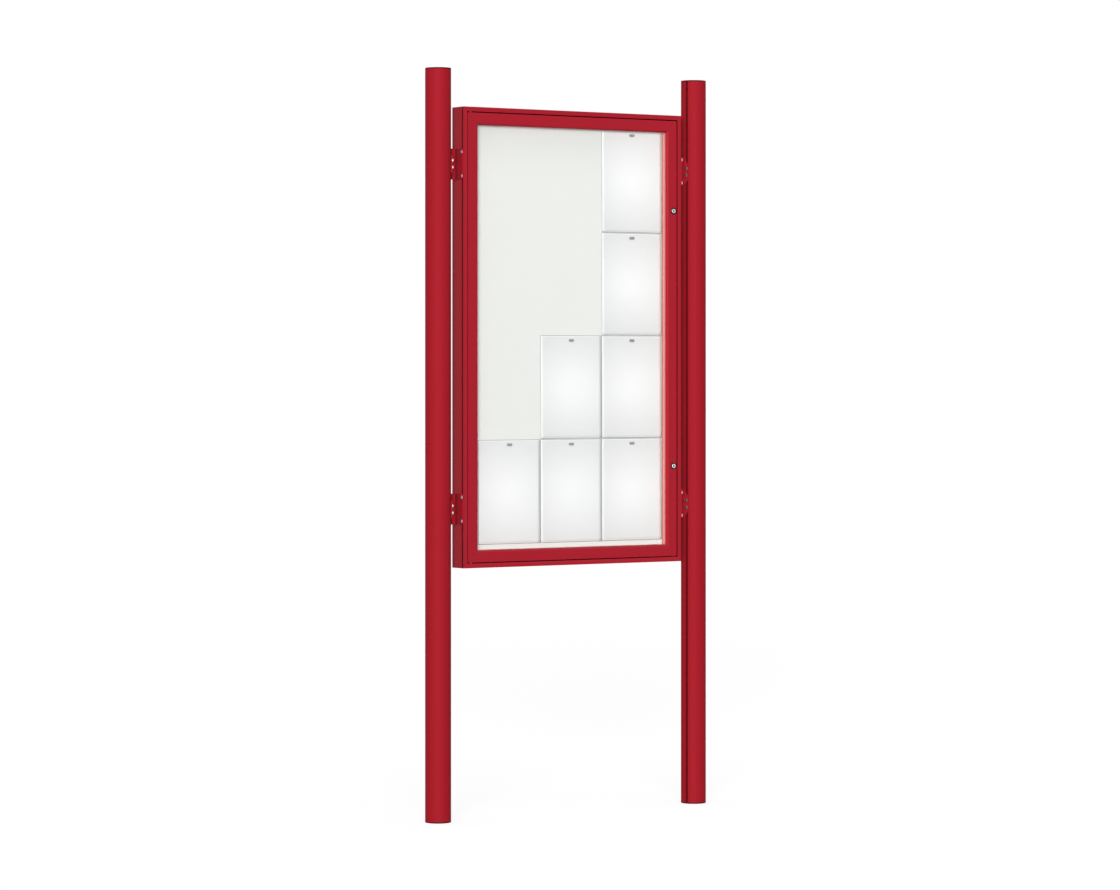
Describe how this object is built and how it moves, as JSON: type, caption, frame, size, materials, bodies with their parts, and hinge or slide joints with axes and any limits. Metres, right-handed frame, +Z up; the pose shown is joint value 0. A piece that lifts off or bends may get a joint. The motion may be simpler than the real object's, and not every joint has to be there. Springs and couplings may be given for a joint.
{
  "type": "lockable notice board",
  "caption": "Glazed notice board cabinet with a side-hung lockable door, held between two round posts by bent brackets in slots.",
  "frame": {"origin": "on the ground, midway between the two posts", "axes": "+Z up, +X to the lock side, +Y to the back of the cabinet; the door faces -Y"},
  "size_m": [0.949, 0.073, 2.116],
  "materials": {
    "red_powder_coat": "satin powder coat",
    "red_plastic": "satin, slightly darker than the posts",
    "bright_steel": "bright stainless",
    "zinc_steel": "zinc plated",
    "plain_aluminium": "mill finish",
    "nickel": "satin nickel plate",
    "black_plastic": "satin",
    "black_rubber": "matt",
    "clear_glass": "clear, polished",
    "white_steel": "smooth white enamel",
    "white_paper": "uncoated paper",
    "grey_magnet": "matt grey"
  },
  "bodies": {
    "root": {"board_channels": "zinc_steel", "bracket_cabinet_screws": "bright_steel", "bracket_post_screws": "bright_steel", "cabinet_slot_nuts": "zinc_steel", "hinge_pin_blocks": "plain_aluminium", "hinge_pin_lower": "bright_steel", "hinge_pin_upper": "bright_steel", "housing_bottom": "red_powder_coat", "housing_corner_angles": "plain_aluminium", "housing_left": "red_powder_coat", "housing_right": "red_powder_coat", "housing_top": "red_powder_coat", "left_post": "red_powder_coat", "left_post_cap": "red_plastic", "left_post_foot": "red_plastic", "lock_strikes": "zinc_steel", "lower_left_bracket": "red_powder_coat", "lower_right_bracket": "red_powder_coat", "magnet_board": "white_steel", "notice_sheets": "white_paper", "post_slot_nuts": "zinc_steel", "rear_panel": "red_powder_coat", "rear_panel_screws": "bright_steel", "right_post": "red_powder_coat", "right_post_cap": "red_plastic", "right_post_foot": "red_plastic", "sheet_magnets": "grey_magnet", "strike_screws": "bright_steel", "upper_left_bracket": "red_powder_coat", "upper_right_bracket": "red_powder_coat"},
    "door": {"door_bottom_rail": "red_powder_coat", "door_corner_cleats": "plain_aluminium", "door_hinge_stile": "red_powder_coat", "door_lock_stile": "red_powder_coat", "door_seal": "black_rubber", "door_top_rail": "red_powder_coat", "glass_pane": "clear_glass", "glazing_bead_bottom": "red_powder_coat", "glazing_bead_left": "red_powder_coat", "glazing_bead_right": "red_powder_coat", "glazing_bead_top": "red_powder_coat", "glazing_gasket": "black_rubber", "hinge_bush_lower": "black_plastic", "hinge_bush_upper": "black_plastic", "lock_collars": "black_plastic", "lock_retaining_rings": "bright_steel", "lower_lock_barrel": "nickel", "upper_lock_barrel": "nickel"},
    "upper_lock": {"upper_lock_plug": "nickel", "upper_lock_cam": "zinc_steel", "upper_cam_screw": "bright_steel"},
    "lower_lock": {"lower_lock_plug": "nickel", "lower_lock_cam": "zinc_steel", "lower_cam_screw": "bright_steel"}
  },
  "joints": [
    {"name": "door_hinge", "type": "hinge", "parent": "root", "child": "door", "pos_m": [-0.346, -0.024, 1.36], "axis": [0, 0, -1], "range_deg": [0, 115]},
    {"name": "upper_lock_turn", "type": "hinge", "parent": "door", "child": "upper_lock", "pos_m": [0.3465, -0.03, 1.731], "axis": [0, -1, 0], "range_deg": [0, 90]},
    {"name": "lower_lock_turn", "type": "hinge", "parent": "door", "child": "lower_lock", "pos_m": [0.3465, -0.03, 0.989], "axis": [0, -1, 0], "range_deg": [0, 90]}
  ]
}
